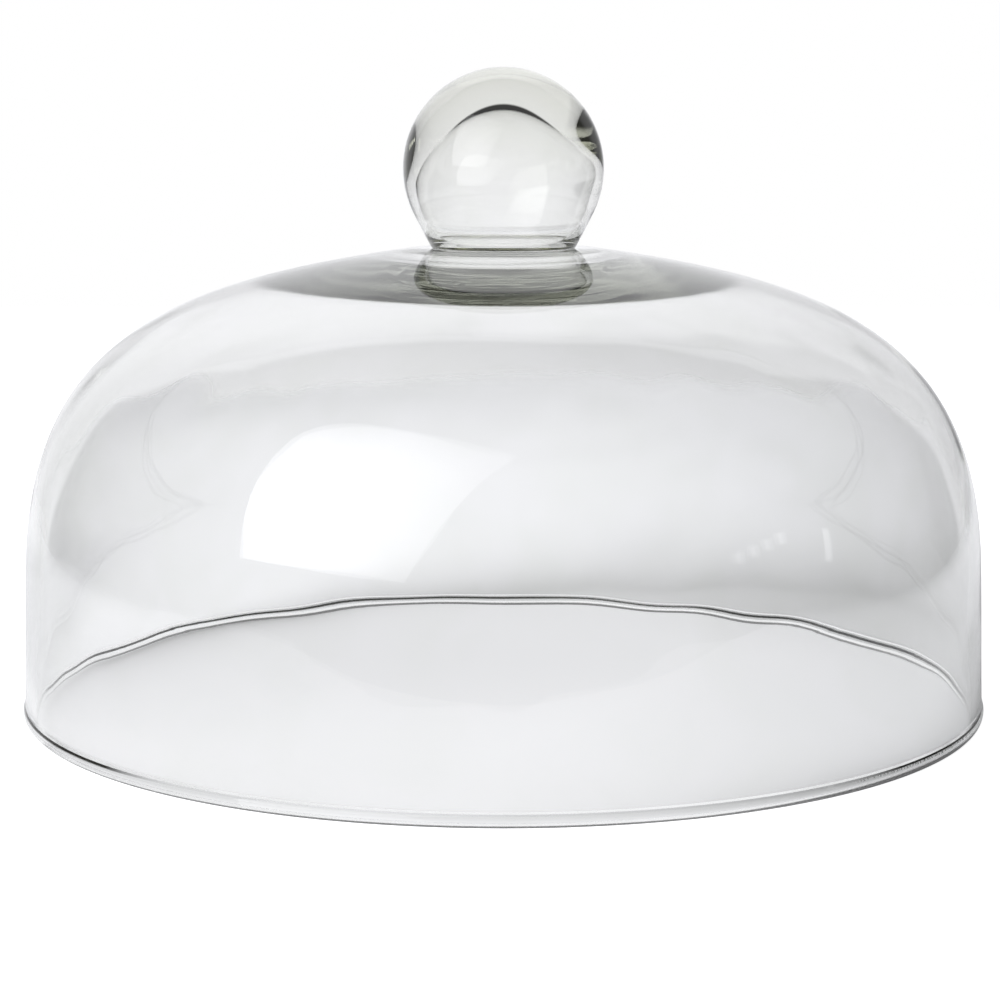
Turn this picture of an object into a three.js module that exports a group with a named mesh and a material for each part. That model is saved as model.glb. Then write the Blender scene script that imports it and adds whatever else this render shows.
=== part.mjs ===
// Clear glass dome cover with a hollow ball knob.
// Millimetres, +Z up. The origin is the middle of the rim, on the surface that the cover stands on.
import * as THREE from 'three';

// Rim bead: a round thread of glass laid round the lip of the dome.
const RIM_RADIUS = 140; // outside of the bead
const BEAD_DEPTH = 2.1; // from the land up to where the bead is widest
const BEAD_NECK = 1.5; // from there up to the seam with the wall
const BEAD_SWELL_OUTSIDE = 0.6; // how far it stands proud of the wall
const BEAD_SWELL_INSIDE = 0.6;
const BEAD_LAND = 1; // width of the flat ring that it stands on

// Dome shell: a nearly upright wall, a long round shoulder and a crown with a flat seat.
const WALL_THICKNESS = 3;
const WALL_HEIGHT = 43; // top of the straight part of the wall
const WALL_DRAFT = 1.75; // degrees that the wall leans in
const SHOULDER_RISE = 67; // how strongly the shoulder carries on up the wall
const CROWN_SPREAD = 64; // how strongly the crown carries on outwards
const CROWN_FALL = 8.4; // degrees that the crown falls away at the edge of the seat
const CROWN_HEIGHT = 132.3; // height of the seat
const CROWN_THICKNESS = 5.8;
const THICKENING_RADIUS = 77; // inside this radius the glass grows thicker
const THICK_RADIUS = 45; // and inside this one it is as thick as at the seat
const SEAT_MARGIN = 6; // flat ring left round the foot of the knob

// Ball knob: a hollow ball on a short tapered neck with a rounded foot.
const BALL_RADIUS = 28.9;
const BALL_WALL = 3.7; // glass beside the air bubble, where the bubble is widest
const BALL_CAP = 9.2; // glass above the bubble
const BALL_BASE = 1.6; // glass under the bubble, which runs down into the neck
const BUBBLE_DROP = 3.5; // widest part of the bubble below the middle of the ball
const BUBBLE_FLOOR_RADIUS = 16;
const BUBBLE_FLOOR_SPREAD = 2; // how strongly the bubble's floor carries on outwards
const BUBBLE_SIDE_REACH = 10; // how strongly the bubble's side carries on down
const BLOW_HOLE_RADIUS = 3; // hole that the ball was blown through, closed by the crown
const NECK_LENGTH = 8.6;
const NECK_TAPER = 27.4; // degrees that the neck narrows towards the foot
const FOOT_ROUND = 1.6;
const CREVICE_DEPTH = 4; // how far the crevice under the foot's edge runs in
const CREVICE_HEIGHT = 0.7; // its height at the edge

// Fineness of the round surfaces.
const DOME_SIDES = 72;
const KNOB_SIDES = 48;
const SHOULDER_STEPS = 16;
const BEAD_STEPS = 4;
const FOOT_STEPS = 3;
const BALL_STEPS = 14;
const BUBBLE_STEPS = 8;

const radians = THREE.MathUtils.degToRad;
const quarterTurn = Math.PI / 2;

// Wall faces at the seam where the bead is laid on the lip.
const seamHeight = BEAD_DEPTH + BEAD_NECK;
const seamOuterRadius = RIM_RADIUS - BEAD_SWELL_OUTSIDE;
const seamInnerRadius = seamOuterRadius - WALL_THICKNESS;

// Neck and foot of the knob, from the cone that touches both the ball and the foot's rounding.
const taper = radians(NECK_TAPER);
const footRadius = (BALL_RADIUS - FOOT_ROUND) * Math.cos(taper) - NECK_LENGTH * Math.tan(taper);
const ballCentreHeight = FOOT_ROUND * (1 - Math.sin(taper)) + NECK_LENGTH + BALL_RADIUS * Math.sin(taper);
const seatRadius = footRadius + FOOT_ROUND + SEAT_MARGIN;

function clearGlass(colour) {
  return new THREE.MeshStandardMaterial({
    color: colour,
    roughness: 0.03,
    metalness: 0,
    transparent: true,
    opacity: 0.35,
  });
}

// Turns a profile of radius and height about +Z. It runs down the inside and back up the outside.
function turned(profile, sides) {
  const geometry = new THREE.LatheGeometry(profile, sides);
  geometry.rotateX(Math.PI / 2);
  return geometry;
}

// Points on part of an ellipse, from one angle to another, measured from the radius axis.
function arcPoints(centre, halfWidth, halfHeight, fromAngle, toAngle, steps) {
  const points = [];
  for (let step = 0; step <= steps; step += 1) {
    const angle = fromAngle + ((toAngle - fromAngle) * step) / steps;
    points.push(new THREE.Vector2(
      centre.x + halfWidth * Math.cos(angle),
      centre.y + halfHeight * Math.sin(angle),
    ));
  }
  return points;
}

// One side of the bead's section: out from the seam to its widest point, then round under to the land.
function beadSide(wallRadius, swollenRadius, landEdgeRadius, middleRadius) {
  const middle = new THREE.Vector2(middleRadius, BEAD_DEPTH);
  const landEdge = new THREE.Vector2(landEdgeRadius, BEAD_DEPTH);
  const halfWidth = swollenRadius - middleRadius;
  const seamAngle = Math.acos((wallRadius - middleRadius) / halfWidth);
  const upper = arcPoints(middle, halfWidth, BEAD_NECK / Math.sin(seamAngle), seamAngle, 0, BEAD_STEPS);
  const lower = arcPoints(landEdge, swollenRadius - landEdgeRadius, BEAD_DEPTH, 0, -quarterTurn, BEAD_STEPS);
  return [...upper, ...lower.slice(1)];
}

function rimBead() {
  const swollenInnerRadius = seamInnerRadius - BEAD_SWELL_INSIDE;
  const middleRadius = (RIM_RADIUS + swollenInnerRadius) / 2;
  const inside = beadSide(seamInnerRadius, swollenInnerRadius, middleRadius - BEAD_LAND / 2, middleRadius);
  const outside = beadSide(seamOuterRadius, RIM_RADIUS, middleRadius + BEAD_LAND / 2, middleRadius);
  const profile = [...inside, ...outside.reverse(), inside[0]];
  const mesh = new THREE.Mesh(turned(profile, DOME_SIDES), clearGlass(0xdfe6e2));
  mesh.name = 'rim_bead';
  return mesh;
}

// Outer face of the shell, from the seam up the wall and round the shoulder to the seat.
function shellOutside() {
  const draft = radians(WALL_DRAFT);
  const fall = radians(CROWN_FALL);
  const wallTopRadius = seamOuterRadius - (WALL_HEIGHT - seamHeight) * Math.tan(draft);
  const shoulder = new THREE.CubicBezierCurve(
    new THREE.Vector2(wallTopRadius, WALL_HEIGHT),
    new THREE.Vector2(wallTopRadius - SHOULDER_RISE * Math.tan(draft), WALL_HEIGHT + SHOULDER_RISE),
    new THREE.Vector2(seatRadius + CROWN_SPREAD, CROWN_HEIGHT - CROWN_SPREAD * Math.tan(fall)),
    new THREE.Vector2(seatRadius, CROWN_HEIGHT),
  );
  const points = [new THREE.Vector2(seamOuterRadius, seamHeight)];
  const inwards = [new THREE.Vector2(-1, 0)];
  for (let step = 0; step <= SHOULDER_STEPS; step += 1) {
    const along = shoulder.getTangent(step / SHOULDER_STEPS);
    points.push(shoulder.getPoint(step / SHOULDER_STEPS));
    inwards.push(new THREE.Vector2(-along.y, along.x));
  }
  return { points, inwards };
}

// Glass thickness where the outer face has this radius.
function shellThickness(radius) {
  const thinned = THREE.MathUtils.smoothstep(radius, THICK_RADIUS, THICKENING_RADIUS);
  return THREE.MathUtils.lerp(CROWN_THICKNESS, WALL_THICKNESS, thinned);
}

function domeShell() {
  const { points, inwards } = shellOutside();
  const inside = points.map((point, index) => (
    point.clone().addScaledVector(inwards[index], shellThickness(point.x))
  ));
  const profile = [
    new THREE.Vector2(0, CROWN_HEIGHT - CROWN_THICKNESS),
    ...inside.reverse(),
    ...points,
    new THREE.Vector2(0, CROWN_HEIGHT),
  ];
  const mesh = new THREE.Mesh(turned(profile, DOME_SIDES), clearGlass(0xe4eae7));
  mesh.name = 'dome_shell';
  return mesh;
}

// Section of the air bubble: a dome on top, a rounded bowl below and the blow hole through its floor.
function bubbleSection() {
  const widest = new THREE.Vector2(0, ballCentreHeight - BUBBLE_DROP);
  const bubbleRadius = Math.sqrt(BALL_RADIUS ** 2 - BUBBLE_DROP ** 2) - BALL_WALL;
  const rise = BALL_RADIUS - BALL_CAP + BUBBLE_DROP;
  const top = arcPoints(widest, bubbleRadius, rise, quarterTurn, 0, BUBBLE_STEPS);
  const bowl = new THREE.CubicBezierCurve(
    new THREE.Vector2(bubbleRadius, widest.y),
    new THREE.Vector2(bubbleRadius, widest.y - BUBBLE_SIDE_REACH),
    new THREE.Vector2(BUBBLE_FLOOR_RADIUS + BUBBLE_FLOOR_SPREAD, BALL_BASE),
    new THREE.Vector2(BUBBLE_FLOOR_RADIUS, BALL_BASE),
  );
  top[0].x = 0;
  return [
    ...top,
    ...bowl.getPoints(BUBBLE_STEPS).slice(1),
    new THREE.Vector2(BLOW_HOLE_RADIUS, BALL_BASE),
    new THREE.Vector2(BLOW_HOLE_RADIUS, 0),
  ];
}

function ballKnob() {
  const footCentre = new THREE.Vector2(footRadius, FOOT_ROUND);
  const ballCentre = new THREE.Vector2(0, ballCentreHeight);
  const contact = new THREE.Vector2(footRadius - CREVICE_DEPTH, 0);
  const foot = arcPoints(footCentre, FOOT_ROUND, FOOT_ROUND - CREVICE_HEIGHT, -quarterTurn, -taper, FOOT_STEPS);
  const ball = arcPoints(ballCentre, BALL_RADIUS, BALL_RADIUS, -taper, quarterTurn, BALL_STEPS);
  ball[BALL_STEPS].x = 0;
  const profile = [...bubbleSection(), contact, ...foot, ...ball];
  const mesh = new THREE.Mesh(turned(profile, KNOB_SIDES), clearGlass(0xd9dfd2));
  mesh.name = 'ball_knob';
  mesh.position.z = CROWN_HEIGHT;
  return mesh;
}

const cover = new THREE.Group();
cover.add(rimBead());
cover.add(domeShell());
cover.add(ballKnob());

export default cover;
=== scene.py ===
import math
import random

import bmesh
import bpy
from mathutils import Matrix, Vector, noise
from mathutils.geometry import interpolate_bezier


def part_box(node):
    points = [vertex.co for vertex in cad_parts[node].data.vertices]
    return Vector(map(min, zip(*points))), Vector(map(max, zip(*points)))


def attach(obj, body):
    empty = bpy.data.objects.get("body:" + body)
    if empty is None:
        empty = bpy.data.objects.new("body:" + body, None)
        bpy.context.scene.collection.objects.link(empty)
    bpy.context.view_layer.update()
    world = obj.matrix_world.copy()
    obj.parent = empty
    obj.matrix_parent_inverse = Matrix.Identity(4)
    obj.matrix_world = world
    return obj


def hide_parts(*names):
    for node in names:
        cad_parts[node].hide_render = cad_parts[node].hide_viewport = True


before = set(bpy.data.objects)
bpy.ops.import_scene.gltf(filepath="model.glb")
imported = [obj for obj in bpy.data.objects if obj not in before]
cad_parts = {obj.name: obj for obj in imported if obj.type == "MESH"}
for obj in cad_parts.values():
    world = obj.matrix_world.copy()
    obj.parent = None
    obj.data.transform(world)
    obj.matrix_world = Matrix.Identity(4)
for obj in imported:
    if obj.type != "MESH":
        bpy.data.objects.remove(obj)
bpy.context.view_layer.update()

scene = bpy.context.scene
scene.view_settings.view_transform = "Standard"
scene.cycles.max_bounces = 40
scene.cycles.glossy_bounces = 40
scene.cycles.transmission_bounces = 40
scene.cycles.caustics_reflective = False
scene.cycles.caustics_refractive = False
mm = 0.001

# Camera: a long lens level with the knob, 0.7 m in front of the axis and tipped down on to the dome.
eye_distance = 701.3 * mm
eye_height = 166.6 * mm
eye_aside = -1.0 * mm
tip_down = math.radians(8.75)

lens = bpy.data.cameras.new("camera")
lens.sensor_width = 36
lens.lens = 87
camera = bpy.data.objects.new("camera", lens)
camera.location = (eye_aside, -eye_distance, eye_height)
camera.rotation_euler = (math.radians(90) - tip_down, 0, 0)
scene.collection.objects.link(camera)
scene.camera = camera

# Room: white to the eye all round. The faces of the glass mirror a grey sweep behind the table
# in a dim room, and what the glass lets straight through is the same white on every side.
# A pair of values named turn is where one tone starts and ends its change into the next.
sweep_half_width = 1.2
sweep_inside_half_width = 1.0
sweep_height = 1.47
sweep_softness = 0.08
sweep_blur = 0.25
sweep_left = 0.60
sweep_left_turn = (-0.9, -0.4)
sweep_right = 0.38
sweep_right_turn = (0.1, 0.6)
front_room = 0.40
side_room = 0.04
side_turn = (-0.6, 0.05)
dark_room = 0.06
guided_depth = 2.5
guided_passes = 4.5
guided_left = 1.1
guided_right = 0.34
guided_turn = (-0.3, 0.3)
guided_half_width = 0.9
guided_softness = 0.1
through_white = 1.0
floor_left = 0.96
floor_right = 0.82
floor_turn = (-0.1, 0.1)
horizon = (-0.03, 0.0)
overhead_dim = 0.30
overhead_from = math.sin(math.radians(48))
overhead_to = math.sin(math.radians(58))
room_light = 0.06
cool_white = (0.972, 0.976, 1.0, 1)


def put(tree, kind, values=(), settings=()):
    """Adds a shader node, sets its inputs by name or number and its settings by name."""
    made = tree.nodes.new(kind)
    for name, value in dict(settings).items():
        setattr(made, name, value)
    for name, value in dict(values).items():
        made.inputs[name].default_value = value
    return made


def arithmetic(tree, operation, first, second):
    """A Math node on two sockets or numbers; gives its output socket."""
    made = put(tree, "ShaderNodeMath", settings={"operation": operation})
    for number, value in enumerate((first, second)):
        if isinstance(value, (int, float)):
            made.inputs[number].default_value = value
        else:
            tree.links.new(value, made.inputs[number])
    return made.outputs[0]


def step_up(tree, value, low, high):
    """Rises smoothly from 0 at low to 1 at high; gives its output socket."""
    made = put(tree, "ShaderNodeMapRange", {1: low, 2: high}, {"interpolation_type": "SMOOTHSTEP"})
    tree.links.new(value, made.inputs[0])
    return made.outputs[0]


def between(tree, share, low, high):
    """Mixes two numbers or sockets by a share; gives its output socket."""
    made = put(tree, "ShaderNodeMix", settings={"data_type": "FLOAT"})
    for number, value in zip((0, 2, 3), (share, low, high)):
        if isinstance(value, (int, float)):
            made.inputs[number].default_value = value
        else:
            tree.links.new(value, made.inputs[number])
    return made.outputs[0]


world = bpy.data.worlds.new("room")
scene.world = world
world.use_nodes = True
room = world.node_tree
room.nodes.clear()
facing = put(room, "ShaderNodeSeparateXYZ")
room.links.new(put(room, "ShaderNodeTexCoord").outputs["Generated"], facing.inputs[0])
east, north, up = facing.outputs
ahead = arithmetic(room, "MAXIMUM", north, 0.001)
sideways = arithmetic(room, "DIVIDE", east, ahead)
across = arithmetic(room, "ABSOLUTE", sideways, 0)
above = arithmetic(room, "DIVIDE", up, ahead)
overhead = step_up(room, up, overhead_from, overhead_to)


def off_sweep(distance, half_width, softness):
    """1 where a direction misses the sweep to the side or over its top, 0 where it meets it."""
    beside = step_up(room, distance, half_width - softness, half_width + softness)
    over = step_up(room, above, sweep_height - softness, sweep_height + softness)
    return arithmetic(room, "MAXIMUM", beside, over)


to_left = between(room, step_up(room, sideways, *sweep_left_turn), sweep_left, 1.0)
sweep_tone = between(room, step_up(room, sideways, *sweep_right_turn), to_left, sweep_right)
beside = between(room, step_up(room, north, *side_turn), front_room, side_room)
room_tone = between(room, overhead, beside, dark_room)
mirrored_outside = between(room, off_sweep(across, sweep_half_width, sweep_blur), sweep_tone, room_tone)
mirrored_inside = between(room, off_sweep(across, sweep_inside_half_width, sweep_softness), 1.0, room_tone)
straight = between(room, overhead, through_white, overhead_dim)
path = put(room, "ShaderNodeLightPath")
was_mirrored = arithmetic(room, "GREATER_THAN", path.outputs["Glossy Depth"], 0.5)
mirrored = between(room, path.outputs["Is Transmission Ray"], mirrored_outside, mirrored_inside)
guided_gain = between(room, step_up(room, sideways, *guided_turn), guided_left, guided_right)
spread = arithmetic(room, "MULTIPLY", across, guided_gain)
beyond = step_up(
    room, across, guided_half_width - guided_softness, guided_half_width + guided_softness
)
guided = between(room, beyond, spread, side_room)
in_crown = arithmetic(room, "LESS_THAN", path.outputs["Transmission Depth"], guided_passes)
was_guided = arithmetic(room, "GREATER_THAN", path.outputs["Glossy Depth"], guided_depth)
was_guided = arithmetic(room, "MULTIPLY", was_guided, in_crown)
in_glass = between(room, was_mirrored, straight, between(room, was_guided, mirrored, guided))
floor = between(room, step_up(room, sideways, *floor_turn), floor_left, floor_right)
floor = between(room, was_mirrored, floor, in_glass)
passed = between(room, step_up(room, up, *horizon), floor, in_glass)
by_glass = between(room, path.outputs["Is Transmission Ray"], in_glass, passed)
touched = arithmetic(room, "MAXIMUM", path.outputs["Is Glossy Ray"], path.outputs["Is Transmission Ray"])
unseen = between(room, touched, room_light, by_glass)
level = between(room, path.outputs["Is Camera Ray"], unseen, 1.0)
tint = put(room, "ShaderNodeMix", {6: cool_white, 7: (1, 1, 1, 1)}, {"data_type": "RGBA"})
room.links.new(path.outputs["Is Camera Ray"], tint.inputs[0])
sky = put(room, "ShaderNodeBackground")
room.links.new(tint.outputs[2], sky.inputs["Color"])
room.links.new(level, sky.inputs["Strength"])
room.links.new(sky.outputs[0], put(room, "ShaderNodeOutputWorld").inputs[0])

# Table: a smooth white top under the cover, which fades into the white of the room at its edges.
# Seen through the glass it has painted light, a little brighter inside the cover, and painted shade:
# the dome's shadow to the right, and darker far back, at the back inside the cover and just past its left
# edge.
table_left = -0.60
table_right = 0.60
table_front = -1.4
table_mirrored_front = -0.31
table_back = 1.6
table_fade = 0.25
table_white = (0.845, 0.85, 0.878, 1)
glass_lift = 0.145
# Painted light inside the cover, and the painted shade to the right, inside, far back and at the left.
inside_painted_light = 0.085
inside_radius = 0.1365
camera_lift = 0.75
right_dim, right_dim_turn = 0.95, (-0.02, 0.20)
inside_dim, inside_dim_turn = 0.3, (-0.08, 0.06)
far_dim, far_dim_turn = 0.8, (0.55, 1.1)
left_dim, left_dim_turn = 0.9, (0.14, 0.18)
left_dim_back = (0.2, 0.35)
front_wall_passes = 2.5

bm = bmesh.new()
bmesh.ops.create_grid(bm, x_segments=1, y_segments=1, size=0.5)
bmesh.ops.scale(bm, vec=(table_right - table_left, table_back - table_front, 1), verts=bm.verts)
bmesh.ops.translate(
    bm, vec=((table_left + table_right) / 2, (table_front + table_back) / 2, 0), verts=bm.verts
)
table_mesh = bpy.data.meshes.new("table")
bm.to_mesh(table_mesh)
bm.free()
table = bpy.data.objects.new("table", table_mesh)
scene.collection.objects.link(table)

table_paint = bpy.data.materials.new("white_table")
table_paint.use_nodes = True
tree = table_paint.node_tree
tree.nodes.clear()
matt = put(tree, "ShaderNodeBsdfDiffuse", {"Color": table_white})
path = put(tree, "ShaderNodeLightPath")
seen = arithmetic(tree, "MULTIPLY", path.outputs["Is Camera Ray"], camera_lift)
touched = arithmetic(tree, "MAXIMUM", path.outputs["Is Glossy Ray"], path.outputs["Is Transmission Ray"])
place = put(tree, "ShaderNodeSeparateXYZ")
tree.links.new(put(tree, "ShaderNodeTexCoord").outputs["Object"], place.inputs[0])
east, north, _ = place.outputs
reach = put(tree, "ShaderNodeVectorMath", settings={"operation": "LENGTH"})
tree.links.new(put(tree, "ShaderNodeTexCoord").outputs["Object"], reach.inputs[0])
west = arithmetic(tree, "MULTIPLY", east, -1)
covered = arithmetic(tree, "LESS_THAN", reach.outputs["Value"], inside_radius)
# Painted light: the table seen through the glass is brighter inside the cover.
caught = between(tree, covered, glass_lift, glass_lift + inside_painted_light)
near_edge = arithmetic(tree, "SUBTRACT", 1, step_up(tree, north, *left_dim_back))
# Painted shade on the table seen through the glass: the dome's shadow to the right, and darker far back, at
# the back inside the cover and just past its left edge.
painted_table_shadows = (
    (step_up(tree, east, *right_dim_turn), right_dim),
    (arithmetic(tree, "MULTIPLY", step_up(tree, north, *inside_dim_turn), covered), inside_dim),
    (step_up(tree, north, *far_dim_turn), far_dim),
    (arithmetic(tree, "MULTIPLY", step_up(tree, west, *left_dim_turn), near_edge), left_dim),
)
painted_table_shadow = 0.0
for part_of_table, share in painted_table_shadows:
    painted_table_shadow = arithmetic(tree, "MAXIMUM", painted_table_shadow, arithmetic(tree, "MULTIPLY", part_of_table, share))
caught = arithmetic(tree, "MULTIPLY", caught, arithmetic(tree, "SUBTRACT", 1, painted_table_shadow))
lift = put(tree, "ShaderNodeEmission")
tree.links.new(
    arithmetic(tree, "ADD", seen, arithmetic(tree, "MULTIPLY", touched, caught)), lift.inputs["Strength"]
)
forward = arithmetic(tree, "MULTIPLY", north, -1)
edge = arithmetic(
    tree, "MAXIMUM",
    step_up(tree, arithmetic(tree, "ABSOLUTE", east, 0), table_right - table_fade, table_right),
    step_up(tree, north, table_back - 2 * table_fade, table_back),
)
edge = arithmetic(tree, "MAXIMUM", edge, step_up(tree, forward, 2 * table_fade, -table_front))
cut = arithmetic(tree, "GREATER_THAN", forward, -table_mirrored_front)
at_front_wall = arithmetic(tree, "LESS_THAN", path.outputs["Transmission Depth"], front_wall_passes)
cut = arithmetic(tree, "MULTIPLY", arithmetic(tree, "MULTIPLY", cut, at_front_wall), touched)
edge = arithmetic(tree, "MAXIMUM", edge, cut)
both = put(tree, "ShaderNodeAddShader")
tree.links.new(matt.outputs[0], both.inputs[0])
tree.links.new(lift.outputs[0], both.inputs[1])
under = put(tree, "ShaderNodeMixShader")
below = put(tree, "ShaderNodeNewGeometry").outputs["Backfacing"]
tree.links.new(arithmetic(tree, "MAXIMUM", below, edge), under.inputs[0])
tree.links.new(both.outputs[0], under.inputs[1])
tree.links.new(put(tree, "ShaderNodeBsdfTransparent").outputs[0], under.inputs[2])
tree.links.new(under.outputs[0], put(tree, "ShaderNodeOutputMaterial").inputs["Surface"])
table.data.materials.append(table_paint)

# Lamps: a soft light from the left front that throws the dome's shadow to the right and back,
# a softbox there whose mirror image is the bright pane on the dome, and two window panes at the right.
key_energy = 5.9
key_turn = -40
key_rise = 30
key_width = math.radians(40)
softbox_reach = 1.215
softbox_eye = Vector((-33, -123.5, 77)) * mm
softbox_corners = ((-63.6, 7.4), (-21.6, 6.3), (8.0, 56.0), (-80.7, 59.3))
softbox_round = 0.22
softbox_bright = 2.6
softbox_faint = 0.7
softbox_middle = (-52, 30)
softbox_fade = (0.30, 0.95)
softbox_mirrorings = 1.5
window_reach = 1.2
window_eye = Vector((70, -115, 64)) * mm
window_bright = 1.3
window_bars = 4
window_turn = 54
window_pitch = 4.2
window_rise = 9.5
window_climb = 1.0
window_width = 2.4
window_below = (1.6, 1.4)
window_above = (1.4, 2.2)
side_window = ((79.3, 3.6), (81.4, 3.4), (82.4, 11.0), (80.2, 11.6))


def towards(turn, rise):
    """Direction turned from the eye towards the right and raised, both in degrees."""
    level = math.cos(math.radians(rise))
    turn = math.radians(turn)
    return Vector((math.sin(turn) * level, -math.cos(turn) * level, math.sin(math.radians(rise))))


def lamp_panel(corners, reach, eye):
    """A flat lamp seen from the eye point between the corner directions, as a bmesh face."""
    bm = bmesh.new()
    points = [bm.verts.new(eye + towards(*corner) * reach) for corner in corners]
    bm.faces.new(points)
    return bm


def hang_lamp(bm, name, material):
    """Makes the panel an object that only mirrors and lenses see."""
    mesh = bpy.data.meshes.new(name)
    bm.to_mesh(mesh)
    bm.free()
    panel = bpy.data.objects.new(name, mesh)
    panel.data.materials.append(material)
    panel.visible_camera = False
    panel.visible_diffuse = False
    panel.visible_shadow = False
    scene.collection.objects.link(panel)


key_light = bpy.data.lights.new("key_light", "SUN")
key_light.energy = key_energy
key_light.angle = key_width
key_lamp = bpy.data.objects.new("key_light", key_light)
key_lamp.rotation_euler = (-towards(key_turn, key_rise)).to_track_quat("-Z", "Y").to_euler()
key_lamp.visible_glossy = False
key_lamp.visible_transmission = False
scene.collection.objects.link(key_lamp)

softbox_cloth = bpy.data.materials.new("softbox_cloth")
softbox_cloth.use_nodes = True
softbox_cloth.cycles.emission_sampling = "NONE"
tree = softbox_cloth.node_tree
tree.nodes.clear()
spot = put(tree, "ShaderNodeVectorMath", settings={"operation": "DISTANCE"})
tree.links.new(put(tree, "ShaderNodeTexCoord").outputs["Object"], spot.inputs[0])
spot.inputs[1].default_value = softbox_eye + towards(*softbox_middle) * softbox_reach
glow = put(tree, "ShaderNodeEmission", {"Color": cool_white})
fade = step_up(tree, spot.outputs["Value"], *softbox_fade)
path = put(tree, "ShaderNodeLightPath")
first = arithmetic(tree, "LESS_THAN", path.outputs["Glossy Depth"], softbox_mirrorings)
shine = arithmetic(tree, "MULTIPLY", between(tree, fade, softbox_bright, softbox_faint), first)
tree.links.new(shine, glow.inputs["Strength"])
tree.links.new(glow.outputs[0], put(tree, "ShaderNodeOutputMaterial").inputs["Surface"])
bm = lamp_panel(softbox_corners, softbox_reach, softbox_eye)
bm.verts.ensure_lookup_table()
bmesh.ops.bevel(
    bm, geom=[bm.verts[3]], offset=softbox_round, affect="VERTICES", segments=8, profile=0.5, material=-1
)
hang_lamp(bm, "softbox", softbox_cloth)

window_light = bpy.data.materials.new("window_light")
window_light.use_nodes = True
window_light.cycles.emission_sampling = "NONE"
tree = window_light.node_tree
tree.nodes.clear()
glow = put(tree, "ShaderNodeEmission", {"Color": cool_white, "Strength": window_bright})
tree.links.new(glow.outputs[0], put(tree, "ShaderNodeOutputMaterial").inputs["Surface"])
for bar in range(window_bars):
    left = window_turn + window_pitch * bar
    right = left + window_width
    middle = window_rise + window_climb * bar
    corners = (
        (left, middle - window_below[0]), (right, middle - window_below[1]),
        (right, middle + window_above[1]), (left, middle + window_above[0]),
    )
    hang_lamp(lamp_panel(corners, window_reach, window_eye), f"window_bar_{bar + 1}", window_light)
hang_lamp(lamp_panel(side_window, window_reach, window_eye), "side_window", window_light)

# Rim bead: a round thread of glass laid hot round the lip of the shell, standing a little proud of it
# on both sides. Air was caught in the seam at the right and the back, as rows of tiny drawn-out bubbles.
# The dark lines just under the seam and along the foot of the bead are painted shade in the glass's colour.
bead_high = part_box("rim_bead")[1]
rim_radius = bead_high.x
seam_height = bead_high.z
bead_depth = 2.1 * mm
bead_swell = 0.6 * mm
bead_land = 1.0 * mm
wall_thickness = 3.0 * mm
bead_steps = 16
dome_steps = 256
seam_bubble_rows = ((40, 88, 90), (140, 166, 40))
seam_bubble_height = 2.75 * mm
seam_bubble_depth = (0.6 * mm, 0.9 * mm)
seam_bubble_half_length = (0.3 * mm, 0.6 * mm)
seam_bubble_half_width = (0.2 * mm, 0.3 * mm)
seam_bubble_scatter = 0.1 * mm
seam_bubble_jitter = 0.35
# Heights, widths, colour and turns of the painted shade lines on the bead.
back_line_height = 2.9 * mm
front_line_height = 3.4 * mm
back_line_width = 0.55 * mm
front_line_width = 0.35 * mm
left_line_width = 0.65 * mm
line_edge = (0.4, 1.0)
middle_line = 0.15
back_foot_line = 1.3 * mm
front_foot_line = 1.0 * mm
right_foot_line = 2.5 * mm
foot_line_edge = (0.7, 1.0)
foot_line_strength = 0.96
painted_shade_colour = (0.002, 0.002, 0.0015, 1)
front_turn = (0, 40 * mm)
middle_turn = (94 * mm, 114 * mm)
right_turn = (40 * mm, 125 * mm)
left_turn = (88 * mm, 104 * mm)
outer_side = (0.3 * mm, 0.8 * mm)
straight_depth = 0.5
quarter = math.pi / 2
weld_distance = 0.002 * mm
sharp_angle = math.radians(40)
glass_tint = (0.50, 0.52, 0.44, 1)
glass_density = 14.0
glass_ior = 1.5
clear_shade = (0.93, 0.93, 0.93, 1)
grazing_shade = (0.1, 0.1, 0.1, 1)
grazing_power = 4
smear_tint = (0.982, 0.985, 0.978, 1)
smear_edge = (0.35, 0.6)
smear_scale = 28.0
skin_scale = 70.0
skin_waves = 0.003 * mm


def arc(centre, half_width, half_height, start, end, steps):
    """Points on part of an ellipse about a point on the section plane."""
    points = []
    for step in range(steps + 1):
        angle = start + (end - start) * step / steps
        across = centre.x + half_width * math.cos(angle)
        points.append(Vector((max(across, 0), 0, centre.z + half_height * math.sin(angle))))
    return points


def bead_side(wall_radius, swollen_radius, land_radius):
    """One side of the bead's section, from the seam round to the land that it stands on."""
    half_width = swollen_radius - middle_radius
    seam_angle = math.acos((wall_radius - middle_radius) / half_width)
    neck = (seam_height - bead_depth) / math.sin(seam_angle)
    upper = arc(Vector((middle_radius, 0, bead_depth)), half_width, neck, seam_angle, 0, bead_steps)
    land_edge = Vector((land_radius, 0, bead_depth))
    return upper + arc(land_edge, swollen_radius - land_radius, bead_depth, 0, -quarter, bead_steps)[1:]


def turn(bm, profile, steps, closed=False):
    """Spins a profile into a closed skin: a loop, or a line that starts and ends on the axis."""
    corners = [bm.verts.new(point) for point in profile]
    followers = corners[1:] + corners[:1] if closed else corners[1:]
    edges = [bm.edges.new(pair) for pair in zip(corners, followers)]
    bmesh.ops.spin(
        bm, geom=corners + edges, cent=(0, 0, 0), axis=(0, 0, 1), dvec=(0, 0, 0),
        angle=math.tau, steps=steps, use_merge=True,
    )
    bmesh.ops.remove_doubles(bm, verts=bm.verts, dist=weld_distance)


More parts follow.
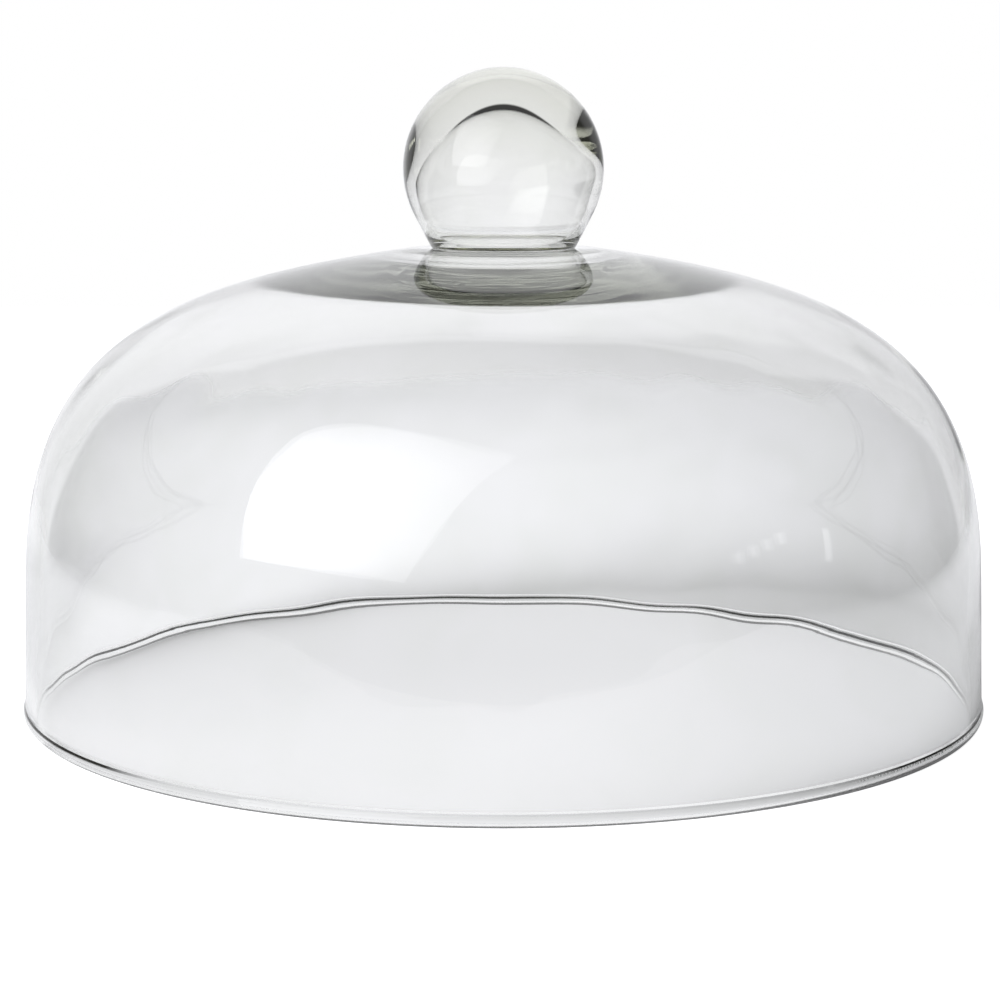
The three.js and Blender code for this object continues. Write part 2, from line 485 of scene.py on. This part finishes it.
def add_bubble(bm, centre, half_length, half_width):
    """A drawn-out air bubble along the round of the dome."""
    turned = math.atan2(centre.y, centre.x)
    place = Matrix.Translation(centre) @ Matrix.Rotation(turned, 4, "Z")
    stretch = Matrix.Diagonal((half_width, half_length, half_width, 1))
    bmesh.ops.create_uvsphere(bm, u_segments=10, v_segments=6, radius=1, matrix=place @ stretch)


def finish_piece(bm, name, material):
    """Makes the mesh an object with smooth faces, sharp only at its real edges, and its material."""
    mesh = bpy.data.meshes.new(name)
    bm.to_mesh(mesh)
    bm.free()
    mesh.polygons.foreach_set("use_smooth", [True] * len(mesh.polygons))
    mesh.set_sharp_from_angle(angle=sharp_angle)
    piece = bpy.data.objects.new(name, mesh)
    scene.collection.objects.link(piece)
    piece.data.materials.append(material)
    return piece


def glass_detail():
    """Group for all the glass: faint smears in its clearness and the slow waves of its skin."""
    group = bpy.data.node_groups.new("glass_detail", "ShaderNodeTree")
    group.interface.new_socket("Clearness", in_out="OUTPUT", socket_type="NodeSocketColor")
    group.interface.new_socket("Waves", in_out="OUTPUT", socket_type="NodeSocketFloat")
    place = put(group, "ShaderNodeTexCoord").outputs["Object"]
    smears = put(group, "ShaderNodeTexNoise", {"Scale": smear_scale, "Detail": 3.0, "Distortion": 1.2})
    waves = put(group, "ShaderNodeTexNoise", {"Scale": skin_scale, "Detail": 1.0})
    clearness = put(group, "ShaderNodeMix", {6: smear_tint, 7: (1, 1, 1, 1)}, {"data_type": "RGBA"})
    out = put(group, "NodeGroupOutput")
    group.links.new(place, smears.inputs["Vector"])
    group.links.new(place, waves.inputs["Vector"])
    group.links.new(step_up(group, smears.outputs[0], *smear_edge), clearness.inputs[0])
    group.links.new(clearness.outputs[2], out.inputs["Clearness"])
    group.links.new(waves.outputs[0], out.inputs["Waves"])
    return group


def glass(name, tint, density):
    """Clear glass: refracts, and takes a little light on its way through its thickness."""
    made = bpy.data.materials.new(name)
    made.use_nodes = True
    tree = made.node_tree
    tree.nodes.clear()
    body = put(
        tree, "ShaderNodeBsdfPrincipled", {"IOR": glass_ior, "Transmission Weight": 1.0, "Roughness": 0.0}
    )
    detail = put(tree, "ShaderNodeGroup", settings={"node_tree": skin_detail})
    skin = put(tree, "ShaderNodeBump", {"Strength": 1.0, "Distance": skin_waves})
    multiplied = {"data_type": "RGBA", "blend_type": "MULTIPLY", "name": "paint"}
    paint = put(tree, "ShaderNodeMix", {0: 1.0, 7: (1, 1, 1, 1)}, multiplied)
    tree.links.new(detail.outputs["Clearness"], paint.inputs[6])
    tree.links.new(paint.outputs[2], body.inputs["Base Color"])
    tree.links.new(detail.outputs["Waves"], skin.inputs["Height"])
    tree.links.new(skin.outputs[0], body.inputs["Normal"])
    grazing = put(tree, "ShaderNodeLayerWeight", {"Blend": 0.5})
    blocked = arithmetic(tree, "POWER", grazing.outputs["Facing"], grazing_power)
    veil = put(tree, "ShaderNodeMix", {6: clear_shade, 7: grazing_shade}, {"data_type": "RGBA"})
    tree.links.new(blocked, veil.inputs[0])
    shade = put(tree, "ShaderNodeBsdfTransparent")
    tree.links.new(veil.outputs[2], shade.inputs["Color"])
    path = put(tree, "ShaderNodeLightPath")
    surface = put(tree, "ShaderNodeMixShader")
    tree.links.new(path.outputs["Is Shadow Ray"], surface.inputs[0])
    tree.links.new(body.outputs[0], surface.inputs[1])
    tree.links.new(shade.outputs[0], surface.inputs[2])
    inside = put(tree, "ShaderNodeVolumeAbsorption", {"Color": tint, "Density": density})
    out = put(tree, "ShaderNodeOutputMaterial")
    tree.links.new(surface.outputs[0], out.inputs["Surface"])
    tree.links.new(inside.outputs[0], out.inputs["Volume"])
    return made


def places(tree):
    """Sockets for how far a point of the piece is to the east, north and up, and from the axis."""
    place = put(tree, "ShaderNodeSeparateXYZ")
    tree.links.new(put(tree, "ShaderNodeTexCoord").outputs["Object"], place.inputs[0])
    east, north, up = place.outputs
    squares = [arithmetic(tree, "MULTIPLY", side, side) for side in (east, north)]
    return east, north, up, arithmetic(tree, "SQRT", arithmetic(tree, "ADD", *squares), 0)


skin_detail = glass_detail()
seam_radius = rim_radius - bead_swell
seam_inner_radius = seam_radius - wall_thickness
swollen_inner_radius = seam_inner_radius - bead_swell
middle_radius = (rim_radius + swollen_inner_radius) / 2
bead_outside = bead_side(seam_radius, rim_radius, middle_radius + bead_land / 2)
bead_inside = bead_side(seam_inner_radius, swollen_inner_radius, middle_radius - bead_land / 2)

bm = bmesh.new()
turn(bm, bead_outside + bead_inside[::-1], dome_steps, closed=True)
bmesh.ops.recalc_face_normals(bm, faces=bm.faces)
draw = random.Random(7)
bubbles_bm = bmesh.new()
for from_turn, to_turn, bubbles in seam_bubble_rows:
    for number in range(bubbles):
        share = (number + draw.uniform(-seam_bubble_jitter, seam_bubble_jitter)) / (bubbles - 1)
        round_to = math.radians(from_turn + (to_turn - from_turn) * share) - quarter
        reach = rim_radius - draw.uniform(*seam_bubble_depth)
        height = seam_bubble_height + draw.uniform(-seam_bubble_scatter, seam_bubble_scatter)
        centre = Vector((reach * math.cos(round_to), reach * math.sin(round_to), height))
        half_length = draw.uniform(*seam_bubble_half_length)
        half_width = draw.uniform(*seam_bubble_half_width)
        add_bubble(bubbles_bm, centre, half_length, half_width)
bmesh.ops.recalc_face_normals(bubbles_bm, faces=bubbles_bm.faces)
bmesh.ops.reverse_faces(bubbles_bm, faces=bubbles_bm.faces)
bubbles_mesh = bpy.data.meshes.new("seam_bubbles")
bubbles_bm.to_mesh(bubbles_mesh)
bubbles_bm.free()
bm.from_mesh(bubbles_mesh)
bpy.data.meshes.remove(bubbles_mesh)
rim_glass = glass("rim_glass", glass_tint, glass_density)
tree = rim_glass.node_tree
east, north, up, reach = places(tree)
south = arithmetic(tree, "MULTIPLY", north, -1)
west = arithmetic(tree, "MULTIPLY", east, -1)
in_front = step_up(tree, south, *front_turn)
middle_front = step_up(tree, south, *middle_turn)
front_right = arithmetic(tree, "MULTIPLY", step_up(tree, east, *right_turn), in_front)
front_left = arithmetic(tree, "MULTIPLY", step_up(tree, west, *left_turn), in_front)
# Painted shade: dark lines just under the seam and along the foot, on the outer face at the front and the
# inner face at the back, only on rays not yet mirrored.
line_height = between(tree, in_front, back_line_height, front_line_height)
front_width = between(tree, front_left, front_line_width, left_line_width)
line_width = between(tree, in_front, back_line_width, front_width)
from_seam = arithmetic(tree, "ABSOLUTE", arithmetic(tree, "SUBTRACT", up, line_height), 0)
over_seam = arithmetic(tree, "DIVIDE", from_seam, line_width)
painted_seam_shade = arithmetic(tree, "SUBTRACT", 1, step_up(tree, over_seam, *line_edge))
painted_seam_shade = arithmetic(tree, "MULTIPLY", painted_seam_shade, between(tree, middle_front, 1.0, middle_line))
foot_top = between(tree, in_front, back_foot_line, front_foot_line)
foot_top = between(tree, front_right, foot_top, right_foot_line)
over_foot = arithmetic(tree, "DIVIDE", up, foot_top)
painted_foot_shade = arithmetic(tree, "SUBTRACT", 1, step_up(tree, over_foot, *foot_line_edge))
painted_foot_shade = arithmetic(tree, "MULTIPLY", painted_foot_shade, between(tree, front_right, foot_line_strength, 1.0))
outer = step_up(tree, reach, middle_radius + outer_side[0], middle_radius + outer_side[1])
inner = arithmetic(tree, "SUBTRACT", 1, outer)
path = put(tree, "ShaderNodeLightPath")
straight = arithmetic(tree, "LESS_THAN", path.outputs["Glossy Depth"], straight_depth)
straight = arithmetic(tree, "MULTIPLY", straight, between(tree, in_front, inner, outer))
painted_rim_shade = arithmetic(tree, "MULTIPLY", arithmetic(tree, "MAXIMUM", painted_seam_shade, painted_foot_shade), straight)
painted_shade_tint = put(tree, "ShaderNodeMix", {6: (1, 1, 1, 1), 7: painted_shade_colour}, {"data_type": "RGBA"})
tree.links.new(painted_rim_shade, painted_shade_tint.inputs[0])
tree.links.new(painted_shade_tint.outputs[2], tree.nodes["paint"].inputs[7])
bead = finish_piece(bm, "rim_bead", rim_glass)
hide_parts("rim_bead")
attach(bead, "root")

# Dome shell: blown soda glass. The wall is even, a little wavy as blown glass is, and grows thicker
# towards the crown, with the thick spot a little to the left of the middle.
shell_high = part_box("dome_shell")[1]
crown_height = shell_high.z
wall_height = 43 * mm
wall_draft = math.radians(1.75)
shoulder_rise = 67 * mm
crown_spread = 64 * mm
crown_fall = math.radians(8.4)
crown_thickness = 5.8 * mm
thickening_from = 77 * mm
thickening_to = 42 * mm
thickening_width = 0.90
thickening_aside = -2.0 * mm
thickening_slant = 0.045
thickening_bend = 0.2
crown_blur = 0.10
blur_aside = (22 * mm, 40 * mm)
blur_reach = (66 * mm, 84 * mm)
crown_rings = 10
seat_radius = 27.4 * mm
seam_gap = 0.03 * mm
wall_steps = 14
shoulder_steps = 90
wave_length = 18 * mm
wave_depth_outside = 0.03 * mm
wave_depth_inside = 0.10 * mm
wave_layer_outside = Vector((0, 0, 3))
wave_layer_inside = Vector((0, 0, 8))
ripple_length = 7 * mm
ripple_depth = 0.05 * mm
ripple_end = (32 * mm, 42 * mm)
wave_rise = (6 * mm, 30 * mm)
wave_reach = (80 * mm, 110 * mm)


def ease(value, low, high):
    """Rises smoothly from 0 at low to 1 at high."""
    share = min(max((value - low) / (high - low), 0), 1)
    return share * share * (3 - 2 * share)


def extra_thickness(place):
    """How much thicker than the wall the crown is above this place on its inner face."""
    east = (place.x - thickening_aside) / thickening_width
    radius = math.hypot(east, place.y + thickening_slant * place.x)
    ripple = ripple_depth * math.cos(math.tau * radius / ripple_length) * (1 - ease(radius, *ripple_end))
    share = min(max((thickening_from - radius) / (thickening_from - thickening_to), 0), 1)
    share += (ease(share, 0, 1) - share) * thickening_bend
    return (crown_thickness - wall_thickness) * share + ripple


wall_top_radius = seam_radius - (wall_height - seam_height) * math.tan(wall_draft)
shoulder = interpolate_bezier(
    Vector((wall_top_radius, 0, wall_height)),
    Vector((wall_top_radius - shoulder_rise * math.tan(wall_draft), 0, wall_height + shoulder_rise)),
    Vector((seat_radius + crown_spread, 0, crown_height - crown_spread * math.tan(crown_fall))),
    Vector((seat_radius, 0, crown_height)),
    shoulder_steps,
)
wall_foot = Vector((seam_radius, 0, seam_height + seam_gap))
outside = [wall_foot.lerp(shoulder[0], step / wall_steps) for step in range(wall_steps)] + shoulder
inside = []
for index, point in enumerate(outside):
    along = outside[min(index + 1, len(outside) - 1)] - outside[max(index - 1, 0)]
    inwards = Vector((-along.z, 0, along.x)).normalized()
    if index == 0:
        inwards = Vector((-1, 0, 0))
    inside.append(point + inwards * wall_thickness)
dome_profile = [Vector((0, 0, crown_height))] + outside[::-1]
inside_edge = inside[-1].x
ceiling = inside[-1].z
inside += [
    Vector((inside_edge * (1 - ring / crown_rings), 0, ceiling)) for ring in range(1, crown_rings + 1)
]
dome_profile += inside

bm = bmesh.new()
turn(bm, dome_profile, dome_steps)
bmesh.ops.recalc_face_normals(bm, faces=bm.faces)
bm.normal_update()
for corner in bm.verts:
    reach = math.hypot(corner.co.x, corner.co.y)
    outer = corner.normal.dot(corner.co) > 0
    fade = ease(corner.co.z, *wave_rise) * ease(reach, *wave_reach)
    layer = wave_layer_outside if outer else wave_layer_inside
    wave = noise.noise(corner.co / wave_length + layer)
    corner.co += corner.normal * (wave * fade * (wave_depth_outside if outer else wave_depth_inside))
    if not outer:
        corner.co += corner.normal * extra_thickness(corner.co)
dome_glass = glass("dome_glass", glass_tint, glass_density)
tree = dome_glass.node_tree
east, north, up, reach = places(tree)
beside = step_up(tree, arithmetic(tree, "ABSOLUTE", east, 0), *blur_aside)
near = arithmetic(tree, "SUBTRACT", 1, step_up(tree, reach, *blur_reach))
blur = arithmetic(tree, "MULTIPLY", arithmetic(tree, "MULTIPLY", beside, near), crown_blur)
tree.links.new(blur, tree.nodes["Principled BSDF"].inputs["Roughness"])
dome = finish_piece(bm, "dome_shell", dome_glass)
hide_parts("dome_shell")
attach(dome, "root")

# Ball knob: a hollow ball of thicker glass with a short tapered neck, set hot on the crown.
# Its bubble bulges at the right shoulder, and a thin crevice is left under the edge of its foot.
# A dark line round the front edge of the foot, just over the seat, is painted shade in the glass's colour.
knob_low, knob_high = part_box("ball_knob")
ball_radius = knob_high.x
neck_length = 9.14 * mm
neck_taper = math.radians(27.4)
foot_round = 0.6 * mm
crevice_depth = 4.0 * mm
crevice_height = 0.1 * mm
# Height, depth, turn and colour of the painted shade line under the knob's foot.
joint_shade_height = 0.45 * mm
joint_shade_core = 0.6
joint_shade_depth = (1.2 * mm, 0.4 * mm)
joint_shade_turn = (9 * mm, 15 * mm)
joint_shade_colour = (0.004, 0.004, 0.003, 1)
knob_tint = (0.52, 0.535, 0.34, 1)
bubble_radius = 25.0 * mm
bubble_point = 1.1
bubble_top = 19.7 * mm
bubble_widest = -3.5 * mm
bubble_bottom = -21.2 * mm
bubble_floor_radius = 17.5 * mm
bubble_floor_spread = 1.5 * mm
bubble_side_reach = 10 * mm
bubble_bulge = 1.7 * mm
bulge_start = -8 * mm
knob_gap = 0.03 * mm
knob_steps = 160
ball_steps = 60
bubble_steps = 60
foot_steps = 10

foot_radius = (ball_radius - foot_round) * math.cos(neck_taper) - neck_length * math.tan(neck_taper)
ball_centre = Vector((0, 0, knob_high.z - ball_radius))
knob_foot = knob_low.z + knob_gap
foot_centre = Vector((foot_radius, 0, knob_foot + foot_round))
knob_profile = [Vector((0, 0, knob_foot)), Vector((foot_radius - crevice_depth, 0, knob_foot))]
knob_profile += arc(foot_centre, foot_round, foot_round - crevice_height, -quarter, -neck_taper, foot_steps)
knob_profile += arc(ball_centre, ball_radius, ball_radius, -neck_taper, quarter, ball_steps)
bubble_centre = ball_centre + Vector((0, 0, bubble_widest))
bubble_side = bubble_centre + Vector((bubble_radius, 0, 0))
bubble_edge = ball_centre + Vector((bubble_floor_radius, 0, bubble_bottom))
bubble_profile = [ball_centre + Vector((0, 0, bubble_bottom))]
bubble_profile += interpolate_bezier(
    bubble_edge,
    bubble_edge + Vector((bubble_floor_spread, 0, 0)),
    bubble_side - Vector((0, 0, bubble_side_reach)),
    bubble_side,
    bubble_steps,
)[:-1]
for step in range(bubble_steps + 1):
    angle = quarter * step / bubble_steps
    aside = bubble_radius * max(math.cos(angle), 0) ** bubble_point
    rise = (bubble_top - bubble_widest) * math.sin(angle) ** bubble_point
    bubble_profile.append(bubble_centre + Vector((aside if step < bubble_steps else 0, 0, rise)))

bm = bmesh.new()
turn(bm, knob_profile, knob_steps)
bmesh.ops.recalc_face_normals(bm, faces=bm.faces)
skin = set(bm.faces)
turn(bm, bubble_profile, knob_steps)
hollow = [face for face in bm.faces if face not in skin]
bmesh.ops.recalc_face_normals(bm, faces=hollow)
bmesh.ops.reverse_faces(bm, faces=hollow)
for corner in {corner for face in hollow for corner in face.verts}:
    over_start = corner.co.z - bubble_centre.z - bulge_start
    share = min(max(over_start / (bubble_top - bubble_widest - bulge_start), 0), 1)
    to_right = ease(corner.co.x, 0, bubble_radius)
    corner.co.x += bubble_bulge * math.sin(math.pi * share) ** 2 * to_right
knob_glass = glass("knob_glass", knob_tint, glass_density)
tree = knob_glass.node_tree
east, north, up, reach = places(tree)
# Painted shade: a dark line round the front edge of the foot just over the seat, only on rays not yet
# mirrored.
on_line = step_up(tree, reach, foot_radius - joint_shade_depth[0], foot_radius - joint_shade_depth[1])
under_seat = arithmetic(tree, "SUBTRACT", knob_low.z, up)
low = step_up(tree, under_seat, -joint_shade_height, -joint_shade_core * joint_shade_height)
in_front = step_up(tree, arithmetic(tree, "MULTIPLY", north, -1), *joint_shade_turn)
path = put(tree, "ShaderNodeLightPath")
straight = arithmetic(tree, "LESS_THAN", path.outputs["Glossy Depth"], straight_depth)
painted_joint_shade = arithmetic(tree, "MULTIPLY", arithmetic(tree, "MULTIPLY", on_line, low), in_front)
painted_joint_shade = arithmetic(tree, "MULTIPLY", painted_joint_shade, straight)
joint_shade_tint = put(tree, "ShaderNodeMix", {6: (1, 1, 1, 1), 7: joint_shade_colour}, {"data_type": "RGBA"})
tree.links.new(painted_joint_shade, joint_shade_tint.inputs[0])
tree.links.new(joint_shade_tint.outputs[2], tree.nodes["paint"].inputs[7])
knob = finish_piece(bm, "ball_knob", knob_glass)
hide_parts("ball_knob")
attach(knob, "root")
